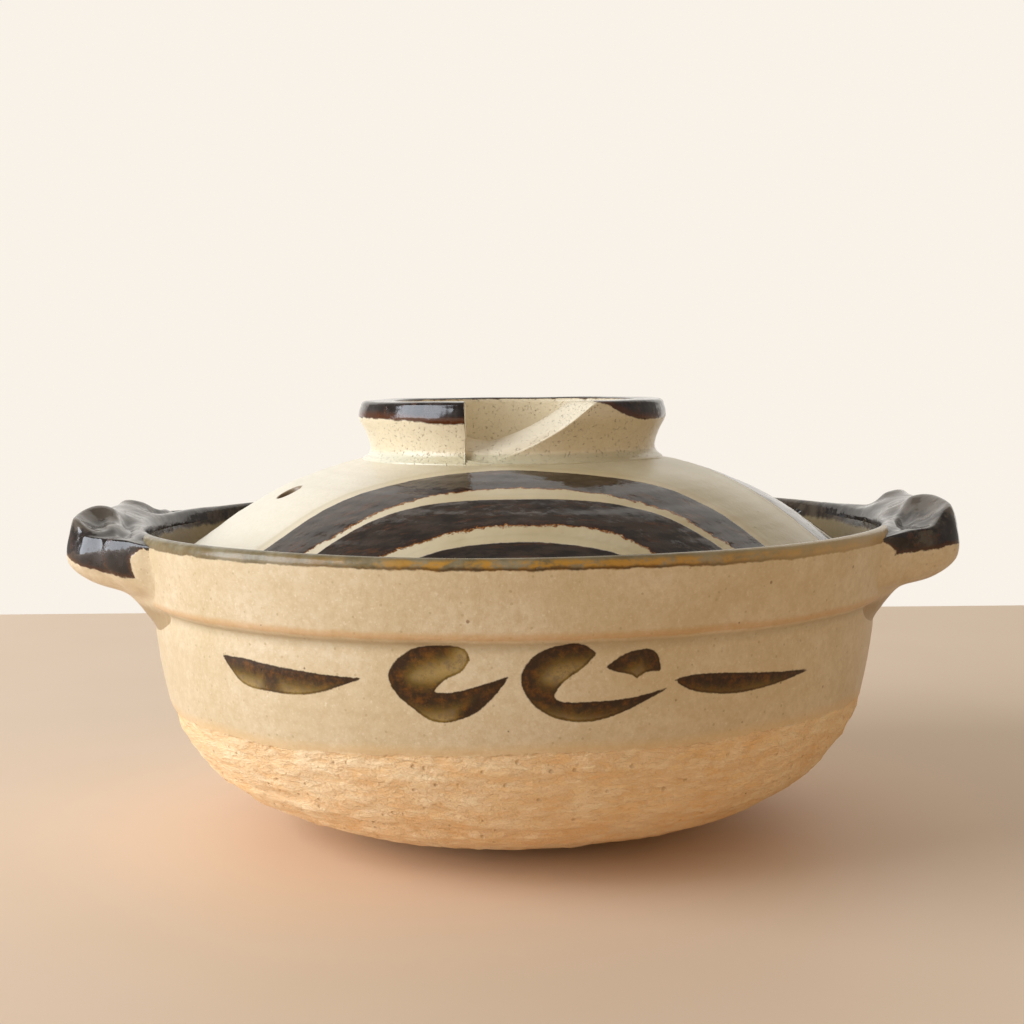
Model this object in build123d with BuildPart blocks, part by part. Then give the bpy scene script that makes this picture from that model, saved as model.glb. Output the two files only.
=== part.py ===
"""Donabe: a lidded stoneware pot for cooking on an open flame.

Millimetres, +Z up. The origin is the centre of the base on the table. The pot and the lid are
thrown about the Z axis, the two ears point along +X and -X, and the notch in the lid's ring
faces -Y.
"""

import os
from math import cos, radians, sin

from build123d import *

os.makedirs("parts", exist_ok=True)

# Pot: the thrown bowl and the collar that holds the lid.
base_radius = 46.0
base_hollow = 1.0
base_land = 9.0
pot_wall = 8.0
collar_step = 3.6
collar_step_rise = 2.4
collar_step_rounding = 1.4
rim_radius = 127.5
rim_height = 101.6
lip_thickness = 5.4
collar_height = 25.2
collar_flare = 7.5
seat_drop = 17.0
seat_inset = 8.1
seat_width = 8.0
seat_rounding = 1.6

# Belly points from the edge of the base to the collar: the way out from base to belly radius,
# and the way up to belly height.
belly_shares = [(0.0, 0.0), (0.324, 0.079), (0.582, 0.170), (0.799, 0.328), (0.924, 0.524),
                (0.974, 0.720), (1.0, 1.0)]
belly_start_slope_share = 0.17
inside_shares = [0.10, 0.28, 0.46, 0.64, 0.82, 0.93]

# Lid: a domed shell that lies on the seat inside the collar.
seat_gap = 0.3
lid_clearance = 2.2
lid_edge = 2.6
lid_edge_rounding = 1.1
lid_foot_width = 10.0
lid_rise = 40.7
lid_wall = 6.5
steam_hole_radius = 4.25
steam_hole_place_share = 0.6655
steam_hole_angle = 202.4

# Dome points from the edge of the lid to its crown: the way out to the lid's radius, and the
# way up from the edge to the crown.
dome_shares = [(0.994, 0.0), (0.9215, 0.170), (0.768, 0.488), (0.597, 0.748), (0.375, 0.932),
               (0.0, 1.0)]
underside_shares = [0.10, 0.30, 0.52, 0.74]

# Ring on the lid: grip, and foot of the upturned lid. Its heights are drops from its top.
ring_rise = 15.7
ring_radius = 51.8
ring_belly_drop = 5.8
ring_top_inset = 1.5
ring_waist_inset = 1.6
ring_waist_drop = 9.4
ring_foot_inset = 4.0
ring_flare = 3.2
ring_flare_drop_share = 0.085
ring_wall = 8.0
ring_rounding = 1.6

# Notch in the ring: an upright cut on the left, and a long slanted stroke of the knife on the
# right, both carried inwards and a little upwards through the wall.
notch_depth = 17.5
notch_left = 15.0
notch_ramp_start = 7.2
notch_ramp_middle = 11.9
notch_ramp_middle_drop = 10.0
notch_ramp_end = 32.0
notch_slope_share = 0.56

# Ears: lugs pressed on over the lip, with two thumb hollows each.
ear_reach = 19.5
left_ear_half_angle = 29.2
right_ear_half_angle = 26.7
ear_root = 3.0
ear_tail_drop = 32.2
ear_crest_rise = 5.6
left_ear_sag = 4.0
right_ear_sag = 9.0
right_ear_lift = 1.4
thumb_angle = 14.5
thumb_radius = 11.0
thumb_depth = 3.2
thumb_place_share = 0.50
thumb_rounding = 1.0

# Ear outline in a plane through the Z axis: the way out from the lip as a share of the reach,
# then the way up from the lip at the ear's middle and at its lobes. Above the lip the way up is
# a share of the crest's rise, below it a share of the tail's drop.
ear_outline_shares = [(-0.41, -1.00, -1.00), (-0.25, -0.88, -0.88), (-0.05, -0.73, -0.73),
                      (0.17, -0.61, -0.61), (0.45, -0.53, -0.53), (0.76, -0.40, -0.40),
                      (0.95, -0.25, -0.25), (1.00, -0.08, -0.08), (0.90, 0.46, 0.38),
                      (0.66, 0.94, 0.80), (0.36, 0.92, 0.62), (0.04, 0.58, 0.20),
                      (-0.12, 0.22, 0.10), (-0.24, -0.14, -0.14)]
# Along each half of an ear, from its middle to its end: the place, how far the ear swells out
# of the wall there, how much of the lobe's outline it has, and how much of the rise is left.
ear_half_shares = [(0.0, 0.91, 0.0, 1.0), (0.25, 0.96, 0.40, 1.0), (0.52, 1.0, 1.0, 0.88),
                   (0.67, 0.90, 1.0, 0.50), (0.80, 0.64, 1.0, 0.20), (0.91, 0.34, 1.0, 0.05),
                   (1.0, 0.12, 1.0, 0.0)]

# One length by which cutters run past what they cut.
overrun = 30.0

belly_radius = rim_radius - collar_flare
belly_height = rim_height - collar_height
seat_radius = rim_radius - seat_inset
seat_height = rim_height - seat_drop
lip_radius = lip_thickness / 2
lip_centre = rim_radius - lip_radius
lip_shoulder = rim_height - lip_radius
step_radius = belly_radius + collar_step
step_height = belly_height + collar_step_rise
seat_inner_radius = seat_radius - seat_width
lid_radius = seat_radius - lid_clearance
lid_foot_height = seat_height + seat_gap
lid_edge_height = lid_foot_height + lid_edge
crown_height = lid_foot_height + lid_rise
ring_top_height = crown_height + ring_rise
ring_foot_radius = ring_radius - ring_foot_inset


def inset(curve, depth, share):
    """Point beside a curve, square to it at a share of its length, on its left as it runs."""
    place, along = curve @ share, curve % share
    return place.X - depth * along.Y, place.Y + depth * along.X


def lip_quarter(side):
    """Quarter round of the lip, from its crest down to its outer (1) or inner (-1) side."""
    middle = lip_radius * sin(radians(45))
    return ThreePointArc(
        (lip_centre, rim_height),
        (lip_centre + side * middle, lip_shoulder + middle),
        (lip_centre + side * lip_radius, lip_shoulder),
    )


def pot_outside():
    """Outer outline of the pot, from the centre of the base to the crest of the lip."""
    land_radius = base_radius - base_land
    ThreePointArc((0, base_hollow), (land_radius / 2, base_hollow * 3 / 4), (land_radius, 0))
    Line((land_radius, 0), (base_radius, 0))
    reach = belly_radius - base_radius
    points = [(base_radius + out * reach, up * belly_height) for out, up in belly_shares]
    belly = Spline(*points, tangents=[(1, belly_start_slope_share), (0, 1)])
    Polyline(belly @ 1, (step_radius, step_height), (rim_radius, lip_shoulder))
    lip_quarter(1)
    return belly


def pot_inside(belly):
    """Inner outline of the pot, from the crest of the lip to the middle of the floor."""
    lip_quarter(-1)
    Polyline(
        (lip_centre - lip_radius, lip_shoulder),
        (seat_radius, seat_height),
        (seat_inner_radius, seat_height),
    )
    floor_height = pot_wall + base_hollow
    wall = Spline(
        (seat_inner_radius, seat_height),
        *[inset(belly, pot_wall, share) for share in reversed(inside_shares)],
        (base_radius / 2, floor_height),
        tangents=[(0, -1), (-1, 0)],
    )
    Polyline(wall @ 1, (0, floor_height), (0, base_hollow))


def dome():
    """Outer curve of the lid, from its edge to its crown."""
    rise = crown_height - lid_edge_height
    points = [(out * lid_radius, lid_edge_height + up * rise) for out, up in dome_shares]
    return Spline(*points, tangents=[(-1, 1), (-1, 0)])


def rings_at(part, height, radius):
    """Circular edges of a turned part that run at one height and radius."""
    near = seat_gap / 2
    return (
        part.edges()
        .filter_by(GeomType.CIRCLE)
        .filter_by_position(Axis.Z, height - near, height + near)
        .filter_by(lambda edge: abs(edge.radius - radius) < near)
    )


def ear_section(swell, lobe, crest, lift, sag):
    """Points of an ear's outline, swollen out of a root within the wall by a share."""
    points = []
    for out, middle_up, lobe_up in ear_outline_shares:
        up = middle_up + lobe * (lobe_up - middle_up)
        below = min(up, 0)
        root_radius = belly_radius - ear_root
        root_height = rim_height - ear_root + below * (ear_tail_drop - ear_root)
        full_radius = rim_radius + out * ear_reach
        full_height = rim_height + max(up, 0) * crest * ear_crest_rise + lift * crest * (1 + below)
        full_height += below * (ear_tail_drop + sag * max(out, 0))
        points.append((
            root_radius + swell * (full_radius - root_radius),
            root_height + swell * (full_height - root_height),
        ))
    return points


# Solid of everything within the pot's outer outline: it trims the ears to the wall.
with BuildPart() as pot_envelope:
    with BuildSketch(Plane.XZ) as envelope_section:
        with BuildLine():
            pot_outside()
            Polyline((lip_centre, rim_height), (0, rim_height), (0, base_hollow))
        make_face()
    revolve(axis=Axis.Z)
    fillet(rings_at(pot_envelope, step_height, step_radius), collar_step_rounding)
    fillet(rings_at(pot_envelope, belly_height, belly_radius), collar_step_rounding)

# Pot body: bowl, collar, rolled lip and seat, thrown from one piece of clay.
with BuildPart() as pot_body:
    with BuildSketch(Plane.XZ) as pot_section:
        with BuildLine():
            pot_inside(pot_outside())
        make_face()
    revolve(axis=Axis.Z)
    fillet(rings_at(pot_body, step_height, step_radius), collar_step_rounding)
    fillet(rings_at(pot_body, belly_height, belly_radius), collar_step_rounding)
    fillet(rings_at(pot_body, seat_height, seat_radius), seat_rounding)
    fillet(rings_at(pot_body, seat_height, seat_inner_radius), seat_rounding)

pot_body.part.label = "pot_body"
export_step(pot_body.part, "parts/pot_body.step")

# Ears: a lug lofted through sections that fan out about the Z axis, then two thumb hollows,
# then the wall's own shape taken out of its back, so that it sits on collar, lip and belly.
near_half = [(-place, *shares) for place, *shares in reversed(ear_half_shares[1:])]
for name, facing, lift, sag, half_angle in (
    ("left_handle", 180, 0, left_ear_sag, left_ear_half_angle),
    ("right_handle", 0, right_ear_lift, right_ear_sag, right_ear_half_angle),
):
    with BuildPart() as handle:
        for place, swell, lobe, crest in near_half + ear_half_shares:
            turn = radians(facing + place * half_angle)
            radial = Plane(origin=(0, 0, 0), x_dir=(cos(turn), sin(turn), 0),
                           z_dir=(sin(turn), -cos(turn), 0))
            with BuildSketch(radial) as ear_slice:
                with BuildLine():
                    skin = Spline(*ear_section(swell, lobe, crest, lift, sag))
                    Line(skin @ 1, skin @ 0)
                make_face()
        loft()
        thumb_distance = rim_radius + thumb_place_share * ear_reach
        thumb_height = rim_height + ear_crest_rise + lift - thumb_depth + thumb_radius
        with Locations((0, 0, thumb_height)):
            with PolarLocations(thumb_distance, 2, start_angle=facing - thumb_angle,
                                angular_range=2 * thumb_angle, endpoint=True):
                Sphere(thumb_radius, mode=Mode.SUBTRACT)
        fillet(handle.edges(Select.LAST), thumb_rounding)
        add(pot_envelope.part, mode=Mode.SUBTRACT)

    handle.part.label = name
    export_step(handle.part, f"parts/{name}.step")

# Lid: a domed shell with a flat foot for the seat, pierced by a steam hole.
with BuildPart() as lid:
    with BuildSketch(Plane.XZ) as lid_section:
        with BuildLine():
            crown = dome()
            under = Spline(
                (0, crown_height - lid_wall),
                *[inset(crown, lid_wall, share) for share in reversed(underside_shares)],
                (lid_radius - lid_foot_width, lid_foot_height),
                tangents=[(1, 0), (1, -1)],
            )
            Polyline(under @ 1, (lid_radius, lid_foot_height), (lid_radius, lid_edge_height),
                     crown @ 0)
            Line(crown @ 1, under @ 0)
        make_face()
    revolve(axis=Axis.Z)
    fillet(rings_at(lid, lid_foot_height, lid_radius), lid_edge_rounding)
    with BuildSketch(Plane.XY.offset(lid_foot_height)) as steam_hole:
        with PolarLocations(steam_hole_place_share * lid_radius, 1,
                            start_angle=steam_hole_angle):
            Circle(steam_hole_radius)
    extrude(amount=lid_rise + overrun, mode=Mode.SUBTRACT)

lid.part.label = "lid"
export_step(lid.part, "parts/lid.step")

# Solid of everything under the dome's outer curve: it trims the ring to the dome.
with BuildPart() as lid_envelope:
    with BuildSketch(Plane.XZ) as dome_section:
        with BuildLine():
            crown = dome()
            Polyline(crown @ 1, (0, lid_foot_height), (lid_radius, lid_foot_height),
                     (lid_radius, lid_edge_height), crown @ 0)
        make_face()
    revolve(axis=Axis.Z)

# Ring: a coil turned on the dome, flared to a rolled top, with a foot drawn out over the dome
# and a notch cut through its front.
with BuildPart() as lid_knob:
    flare_height = crown_height - ring_flare_drop_share * lid_rise
    with BuildSketch(Plane.XZ) as ring_section:
        with BuildLine():
            flare = RadiusArc(
                (ring_foot_radius + ring_flare, flare_height),
                (ring_foot_radius, flare_height + ring_flare),
                ring_flare,
            )
            side = Spline(
                flare @ 1,
                (ring_radius - ring_waist_inset, ring_top_height - ring_waist_drop),
                (ring_radius, ring_top_height - ring_belly_drop),
                (ring_radius - ring_top_inset, ring_top_height),
            )
            inner_radius = ring_foot_radius - ring_wall
            Polyline(side @ 1, (inner_radius + ring_rounding, ring_top_height),
                     (inner_radius, lid_foot_height),
                     (ring_foot_radius + ring_flare, lid_foot_height), flare @ 0)
        make_face()
    revolve(axis=Axis.Z)
    fillet(lid_knob.edges().group_by(Axis.Z)[-1], ring_rounding)
    add(lid_envelope.part, mode=Mode.SUBTRACT)
    run_in = ring_foot_inset + ring_flare
    front = Plane(origin=(0, -ring_foot_radius - run_in, -notch_slope_share * run_in),
                  x_dir=(1, 0, 0), z_dir=(0, -1, 0))
    with BuildSketch(front) as notch:
        with BuildLine():
            sill = ring_top_height - notch_depth
            ramp = ThreePointArc(
                (-notch_ramp_start, sill),
                (notch_ramp_middle, ring_top_height - notch_ramp_middle_drop),
                (notch_ramp_end, ring_top_height),
            )
            Polyline(ramp @ 1, (notch_ramp_end + overrun, ring_top_height + overrun),
                     (-notch_left, ring_top_height + overrun), (-notch_left, sill), ramp @ 0)
        make_face()
    extrude(amount=ring_radius, dir=(0, 1, notch_slope_share), mode=Mode.SUBTRACT)

lid_knob.part.label = "lid_knob"
export_step(lid_knob.part, "parts/lid_knob.step")
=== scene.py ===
from math import atan2, cos, pi, radians, sin

import bpy
import numpy as np
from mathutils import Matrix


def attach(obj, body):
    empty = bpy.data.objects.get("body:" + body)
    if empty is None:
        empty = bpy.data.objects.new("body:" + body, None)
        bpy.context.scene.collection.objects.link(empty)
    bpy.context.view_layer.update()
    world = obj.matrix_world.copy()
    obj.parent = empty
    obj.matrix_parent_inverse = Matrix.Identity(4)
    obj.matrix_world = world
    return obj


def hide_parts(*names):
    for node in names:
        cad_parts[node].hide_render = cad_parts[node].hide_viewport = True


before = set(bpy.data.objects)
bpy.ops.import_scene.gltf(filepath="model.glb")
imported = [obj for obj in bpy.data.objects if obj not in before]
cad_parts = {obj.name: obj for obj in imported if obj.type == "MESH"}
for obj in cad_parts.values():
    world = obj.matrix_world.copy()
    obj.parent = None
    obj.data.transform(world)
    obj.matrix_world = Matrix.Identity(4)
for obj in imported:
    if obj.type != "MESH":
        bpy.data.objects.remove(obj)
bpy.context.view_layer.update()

# The pot: bowl, collar and lip. One piece of coarse sandy stoneware thrown on the wheel, glazed
# down to a ragged line above the base, with an iron-brushed lip, and traditional brush dashes and
# curls round the belly. Sizes are in millimetres, and become metres where a mesh is made.

base_radius, base_hollow, base_land = 46.0, 1.0, 9.0
belly_radius, belly_height = 120.0, 76.4
belly_shares = [(0.0, 0.0), (0.324, 0.079), (0.582, 0.170), (0.799, 0.328), (0.924, 0.524),
                (0.974, 0.720), (1.0, 1.0)]
belly_start_slope = 0.17
step_radius, step_height = 123.6, 78.8
rim_radius, rim_height, lip_radius = 127.5, 101.6, 2.7
seat_radius, seat_height, seat_inner_radius = 119.4, 84.6, 111.4
pot_wall = 8.0
pot_row_count, pot_column_count = 252, 394


def run_along(line):
    """Length run from the start of a line to each of its points."""
    return np.concatenate([[0], np.cumsum(np.linalg.norm(np.diff(line, axis=0), axis=1))])


def read_at(line, run, at):
    """Points of a line at given places of its run."""
    return np.stack([np.interp(at, run, column) for column in line.T], axis=1)


def even_steps(line, spacing):
    """The same line with points at even steps along its length."""
    line = np.asarray(line, float)
    run = run_along(line)
    steps = max(2, int(round(run[-1] / spacing)) + 1)
    return read_at(line, run, np.linspace(0, run[-1], steps))


def curve_through(points, start=None, end=None, spacing=0.5):
    """Smooth curve through points: cubic pieces over the chord length whose slopes and bends
    agree where they meet, with the end directions given or left free, in even steps."""
    points = np.asarray(points, float)
    chord = np.linalg.norm(np.diff(points, axis=0), axis=1)
    at = run_along(points)
    slope = np.diff(points, axis=0) / chord[:, None]
    count = len(points)
    system, wanted = np.zeros((count, count)), np.zeros((count, points.shape[1]))
    for i in range(1, count - 1):
        system[i, i - 1:i + 2] = chord[i], 2 * (chord[i] + chord[i - 1]), chord[i - 1]
        wanted[i] = 3 * (chord[i] * slope[i - 1] + chord[i - 1] * slope[i])
    for row, near, given, line in ((0, 1, start, slope[0]), (-1, -2, end, slope[-1])):
        if given is None:
            system[row, row], system[row, near], wanted[row] = 2, 1, 3 * line
        else:
            given = np.asarray(given, float)
            system[row, row], wanted[row] = 1, given / np.linalg.norm(given)
    speed = np.linalg.solve(system, wanted)
    t = np.linspace(0, at[-1], max(4, int(at[-1] / spacing) * 2))
    k = np.clip(np.searchsorted(at, t, side="right") - 1, 0, count - 2)
    u = ((t - at[k]) / chord[k])[:, None]
    h = chord[k][:, None]
    fine = ((1 + 2 * u) * (1 - u) ** 2 * points[k] + u * (1 - u) ** 2 * h * speed[k]
            + u * u * (3 - 2 * u) * points[k + 1] - u * u * (1 - u) * h * speed[k + 1])
    return even_steps(fine, spacing)


def softened(line, softness, spacing=0.4):
    """A line whose corners are rounded as wet clay is: each point becomes the bell-weighted
    mean of its neighbours along the line, and the two ends stay."""
    line = even_steps(line, spacing)
    reach = int(3 * softness / spacing) + 1
    weights = np.exp(-0.5 * (np.arange(-reach, reach + 1) * spacing / softness) ** 2)
    weights /= weights.sum()
    ahead = 2 * line[0] - line[reach:0:-1]
    behind = 2 * line[-1] - line[-2:-reach - 2:-1]
    padded = np.concatenate([ahead, line, behind])
    return np.stack([np.convolve(padded[:, i], weights, "valid") for i in range(2)], axis=1)


def spread_rows(line, rows, bend_share=6.0, care=None):
    """Picks rows along a line: close together where it bends, further apart where it is
    straight, by equal steps of length plus turning, the length counted care times."""
    step = np.diff(line, axis=0)
    turn = np.abs(np.diff(np.unwrap(np.arctan2(step[:, 1], step[:, 0]))))
    weight = np.linalg.norm(step, axis=1) * (1 if care is None else care[1:])
    weight[1:] += bend_share * turn
    run = np.concatenate([[0], np.cumsum(weight)])
    return read_at(line, run, np.linspace(0, run[-1], rows))


def outward(line):
    """Unit vectors square to a line, on the right of its run, which is the side away from the
    clay when the line runs up the outside and down the inside."""
    along = np.gradient(line, axis=0)
    along /= np.linalg.norm(along, axis=1)[:, None]
    return np.stack([along[:, 1], -along[:, 0]], axis=1)


def inset(line, depth, shares):
    """Points at shares of a line's length, and a depth square to it on its left."""
    at = [int(share * (len(line) - 1)) for share in shares]
    return list(line[at] - depth * outward(line)[at])


def eased(value, low, high):
    """0 below low, 1 above high and a soft S between them."""
    share = np.clip((value - low) / (high - low), 0, 1)
    return share * share * (3 - 2 * share)


def lumps(turn, run, across, along, seed):
    """Smooth random lumps on a turned surface: random heights on a lattice wrapped round the
    axis, joined by eased steps. turn is the angle, run the length up the surface in
    millimetres, across the number of lumps in a whole turn, along the size of one up it."""
    rng = np.random.default_rng(seed)
    u, v = (turn / (2 * pi) % 1) * across, run / along
    v = v - v.min()
    height = rng.standard_normal((across, int(v.max()) + 3))
    i, j = np.floor(u).astype(int), np.floor(v).astype(int)
    a, b = eased(u - i, 0, 1), eased(v - j, 0, 1)
    i, nxt = i % across, (i + 1) % across
    low = height[i, j] * (1 - a) + height[nxt, j] * a
    high = height[i, j + 1] * (1 - a) + height[nxt, j + 1] * a
    return low * (1 - b) + high * b


def turned_faces(rows, columns):
    """Quads between the rows of a grid whose last column joins its first."""
    row, column = np.arange(rows - 1)[:, None], np.arange(columns)[None, :]
    nxt = (column + 1) % columns
    return np.stack([row * columns + column, row * columns + nxt, (row + 1) * columns + nxt,
                     (row + 1) * columns + column], axis=-1).reshape(-1, 4)


def clay_mesh(name, points, quads, triangles=(), marks=None, sharp=None):
    """Makes a smooth-shaded piece from points in millimetres, faces given as indices, and
    marks, which are named numbers for each point that the finish reads."""
    mesh = bpy.data.meshes.new(name)
    faces = [*np.asarray(quads).tolist(), *np.asarray(triangles, int).tolist()]
    mesh.from_pydata((np.asarray(points).reshape(-1, 3) * 0.001).tolist(), [], faces)
    for label, values in (marks or {}).items():
        mark = mesh.attributes.new(label, "FLOAT", "POINT")
        mark.data.foreach_set("value", np.ascontiguousarray(values, np.float32).ravel())
    mesh.validate()
    mesh.polygons.foreach_set("use_smooth", [True] * len(mesh.polygons))
    if sharp:
        mesh.set_sharp_from_angle(angle=radians(sharp))
    piece = bpy.data.objects.new(name, mesh)
    bpy.context.collection.objects.link(piece)
    return piece


def swept_round(line, turns, shift):
    """Points of a turned surface: each point of the line carried round the axis and moved by
    shift along the line's outward direction there."""
    radius, height = [line[:, i:i + 1] + outward(line)[:, i:i + 1] * shift for i in (0, 1)]
    return np.stack([radius * np.cos(turns), radius * np.sin(turns), height], axis=-1)


def capped(points, first_end, last_end):
    """Adds to a grid's points the two that close its first and last row, and gives the
    triangles that run to them."""
    rows, columns = points.shape[:2]
    column, count = np.arange(columns), rows * columns
    nxt, last = (column + 1) % columns, count - columns
    flat = np.concatenate([points.reshape(-1, 3), [first_end, last_end]])
    fans = [[0 * column + count, nxt, column], [0 * column + count + 1, last + column, last + nxt]]
    return flat, np.concatenate([np.stack(fan, axis=1) for fan in fans])


belly = curve_through([(base_radius + out * (belly_radius - base_radius), up * belly_height)
                       for out, up in belly_shares], start=(1, belly_start_slope), end=(0, 1))
lip_turn = np.linspace(0, pi, 25)
lip_round = np.stack([rim_radius - lip_radius + lip_radius * np.cos(lip_turn),
                      rim_height - lip_radius + lip_radius * np.sin(lip_turn)], axis=1)
floor_height = base_hollow + pot_wall
inner_wall = curve_through(
    [(seat_inner_radius, seat_height),
     *inset(belly, pot_wall, (0.93, 0.82, 0.64, 0.46, 0.28, 0.10)),
     (base_radius / 2, floor_height)], start=(0, -1), end=(-1, 0))
land_inner = base_radius - base_land
pot_line = softened(np.concatenate([
    [(2.0, base_hollow), (land_inner * 0.7, base_hollow * 0.6), (land_inner, 0.0)], belly,
    [(step_radius, step_height)], lip_round, [(seat_radius, seat_height)],
    [(seat_inner_radius, seat_height)], inner_wall[1:], [(2.0, floor_height)]]), 0.75)
pot_line[:, 1] = np.maximum(pot_line[:, 1], 0.0)

# Rows and columns stand closer together where the brush strokes are, at the front and the back.
on_outside = np.arange(len(pot_line)) < np.argmax(pot_line[:, 1])
by_strokes = eased(pot_line[:, 1], 50, 54) * (1 - eased(pot_line[:, 1], 77, 79))
pot_rows = spread_rows(pot_line, pot_row_count, 6.0,
                       np.where(on_outside, 1 + 1.3 * by_strokes, 0.62))
even_turns = np.linspace(0, 2 * pi, 4001)
crowding = 1 + 2.6 * (np.abs(np.sin(even_turns)) > cos(radians(49)))
crowding_run = np.concatenate([[0], np.cumsum((crowding[1:] + crowding[:-1]) / 2)])
pot_turns = np.interp(np.linspace(0, crowding_run[-1], pot_column_count + 1)[:-1],
                      crowding_run, even_turns)

turn_grid, run_grid = np.meshgrid(pot_turns, run_along(pot_rows))
row_height = pot_rows[:, 1:2]
is_outer = (np.arange(len(pot_rows)) <= np.argmax(row_height)).astype(float)[:, None]
far = 30.0


def from_side(turn, facing=0.0):
    """Angles counted from the front, or from the side that is facing further round."""
    return (turn + pi / 2 - facing + pi) % (2 * pi) - pi


# The glaze stops a little higher on the right, where the pot was dipped askew.
front_turn = from_side(turn_grid)
glaze_line = 44.9 + 1.5 * np.sin(front_turn) + sum(
    reach * np.sin(waves * front_turn + start)
    for reach, waves, start in ((0.55, 3, 0.9), (0.35, 7, 2.0), (0.25, 13, 0.0)))
above_line = np.where(is_outer > 0, row_height - glaze_line, far)
bare_clay = 1 - eased(above_line, -0.6, 0.9)


def pot_relief(turn, run):
    """Millimetres by which the pot's skin stands out: throwing rings and slow waves under the
    glaze, sharp small lumps of torn clay below it, and neither at the foot and the lip."""
    def added(*sizes):
        """Lumps of several heights and sizes on top of each other."""
        return sum(high * lumps(turn, run, *size) for high, *size in sizes)

    rings = 0.035 * np.sin(2 * pi * run / 4.6 + 0.8 * np.sin(2 * turn) + turn)
    throwing = rings + added((0.10, 5, 6.0, 3), (0.16, 9, 22.0, 4))
    tooling = added((0.26, 13, 2.3, 5), (0.20, 60, 2.2, 6), (0.12, 190, 1.7, 7))
    keep_still = eased(row_height, 1.2, 6.0) * (1 - eased(row_height, 93.0, 98.0))
    return keep_still * ((1 - bare_clay) * (throwing * 0.8 + 0.30) + bare_clay * tooling) - 0.1


pot_points = swept_round(pot_rows, pot_turns, pot_relief(turn_grid, run_grid))
pot_points[..., 2] = np.maximum(pot_points[..., 2], 0.0)
lip_dip = 0.20 + 0.12 * np.sin(3 * turn_grid) + 0.08 * np.sin(7 * turn_grid + 1)
pot_points[..., 2] -= eased(row_height, 90, 101) * lip_dip


def distance_from(points, line):
    """Least distance of points from an open line."""
    best = np.full(len(points), np.inf)
    for start, end in zip(line[:-1], line[1:]):
        rel, side = points - start, end - start
        share = np.clip((rel @ side) / max(side @ side, 1e-9), 0, 1)
        best = np.minimum(best, np.linalg.norm(rel - share[:, None] * side, axis=1))
    return best


def signed_distance(points, outline):
    """Distance of points from a closed outline, positive inside it: the sign comes from how
    often a line to the right crosses its sides."""
    closed = np.concatenate([outline, outline[:1]])
    inside = np.zeros(len(points), bool)
    for start, end in zip(closed[:-1], closed[1:]):
        crosses = (start[1] > points[:, 1]) != (end[1] > points[:, 1])
        if crosses.any():
            level = (points[:, 1] - start[1]) / (end[1] - start[1])
            inside ^= crosses & (points[:, 0] < start[0] + level * (end[0] - start[0]))
    return np.where(inside, 1, -1) * distance_from(points, closed)


# Brush strokes of one group, as runs between their sharp tips: degrees from the middle of the
# front, and heights.
stroke_runs = [
    [[(-45.3, 69.2), (-44.3, 68.8), (-41.8, 68.8), (-37.8, 68.3), (-30.9, 67.3), (-24.2, 66.6),
      (-20.8, 66.5)],
     [(-20.8, 66.5), (-23.6, 64.4), (-26.7, 62.1), (-30.7, 60.5), (-36.8, 60.4), (-41.6, 61.9),
      (-43.9, 65.9), (-45.3, 69.2)]],
    [[(-5.9, 72.8), (-6.4, 75.3), (-9.0, 76.8), (-12.4, 76.1), (-15.3, 72.6), (-16.7, 67.9),
      (-15.9, 63.3), (-13.5, 58.8), (-10.7, 55.3), (-7.9, 55.7), (-5.0, 58.4), (-2.6, 63.1),
      (-0.9, 67.9)],
     [(-0.9, 67.9), (-4.9, 65.2), (-9.3, 63.2), (-10.9, 63.4)],
     [(-10.9, 63.4), (-8.9, 67.6), (-6.9, 69.8), (-5.9, 72.8)]],
    [[(10.6, 73.9), (8.8, 76.7), (6.0, 76.6), (2.5, 73.4), (0.9, 68.1), (1.5, 63.0), (3.7, 58.1),
      (7.3, 55.3), (11.4, 55.4), (15.5, 58.2), (20.5, 62.9)],
     [(20.5, 62.9), (15.4, 60.8), (9.3, 60.3), (5.1, 62.3), (6.0, 65.8), (8.8, 70.2),
      (10.6, 73.9)]],
    [[(12.1, 70.1), (14.8, 73.5), (17.5, 74.5)], [(17.5, 74.5), (18.6, 73.6), (19.5, 68.2)],
     [(19.5, 68.2), (17.2, 68.0), (16.3, 66.6)],
     [(16.3, 66.6), (15.3, 67.9), (13.6, 68.7), (12.1, 70.1)]],
    [[(21.8, 65.2), (23.4, 65.8), (27.7, 65.9), (36.7, 64.1), (46.0, 62.6)],
     [(46.0, 62.6), (41.3, 61.1), (35.5, 59.8), (29.9, 59.8), (26.3, 60.9), (23.0, 63.3),
      (21.8, 65.2)]],
]
# Where the brush let most of its iron go, in the same measure.
loaded_runs = [
    [(-44.9, 68.5), (-37.9, 67.5), (-30.4, 66.4), (-23.0, 66.3), (-20.8, 66.5)],
    [(-35.8, 66.0), (-35.4, 63.6)],
    [(-9.8, 76.7), (-13.6, 73.8), (-15.8, 68.8), (-15.2, 64.2), (-12.6, 61.9), (-9.3, 62.3),
     (-5.0, 64.2), (-1.0, 67.7)],
    [(-2.8, 63.9), (-6.0, 57.9)],
    [(9.2, 76.0), (6.0, 75.7), (3.1, 73.0), (1.7, 68.5), (2.3, 63.8), (5.3, 61.4), (10.1, 60.0),
     (15.4, 60.5), (20.5, 62.7)],
    [(12.4, 69.9), (14.8, 72.7), (17.5, 73.7), (19.0, 70.3)],
    [(22.0, 65.0), (25.4, 65.0), (30.2, 63.8), (34.2, 64.2), (46.0, 62.4)],
]
degree_length = radians(1) * belly_radius

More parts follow.
